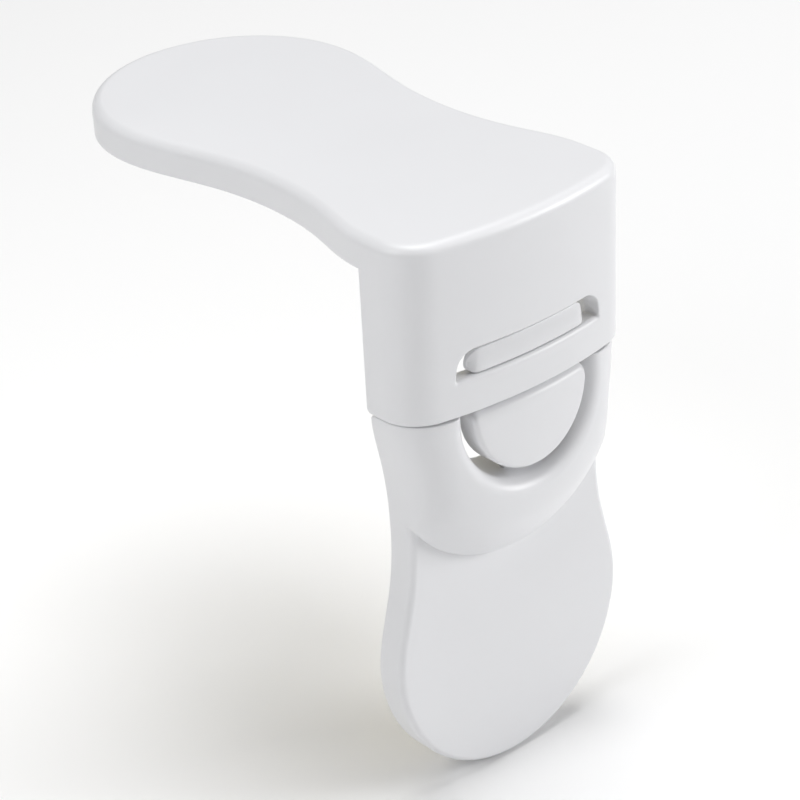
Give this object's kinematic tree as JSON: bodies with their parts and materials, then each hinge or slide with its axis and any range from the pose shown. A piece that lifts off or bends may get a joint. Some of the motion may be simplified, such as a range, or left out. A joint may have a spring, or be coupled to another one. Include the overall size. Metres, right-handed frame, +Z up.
{
  "type": "corner safety lock",
  "caption": "Right-angle child-safety corner lock: adhesive L-shaped bracket held to an adhesive base by a sprung press-to-release latch tongue.",
  "frame": {"origin": "centre line of the lock on the base's sticking face, 42 mm below the seam between bracket and base", "axes": "+X across the lock, +Y into the furniture that the base sticks to, +Z up along the base towards the bracket"},
  "size_m": [0.0454, 0.0893, 0.096],
  "materials": {
    "white_plastic": "satin white moulded ABS",
    "spring_plastic": "natural white acetal",
    "foam_tape": "matte white foam tape",
    "liner_film": "pale yellow release film"
  },
  "bodies": {
    "base": {"base_shell": "white_plastic", "base_foam_pad": "foam_tape", "base_pad_liner": "liner_film", "leaf_spring": "spring_plastic"},
    "tongue": {"latch_tongue": "white_plastic", "catch_bar": "white_plastic"},
    "bracket": {"bracket_shell": "white_plastic", "bracket_foam_pad": "foam_tape", "bracket_pad_liner": "liner_film"}
  },
  "joints": [
    {"name": "press", "type": "hinge", "parent": "base", "child": "tongue", "pos_m": [0, -0.0073, 0.0245], "axis": [-1, 0, 0], "range_deg": [0, 8], "stiffness_Nm_per_rad": 0.6, "deforming": ["leaf_spring"]},
    {"name": "lift_off", "type": "slide", "parent": "base", "child": "bracket", "axis": [0, 0, 1], "range_m": [0, 0.03], "deforming": ["catch_bar"]}
  ]
}
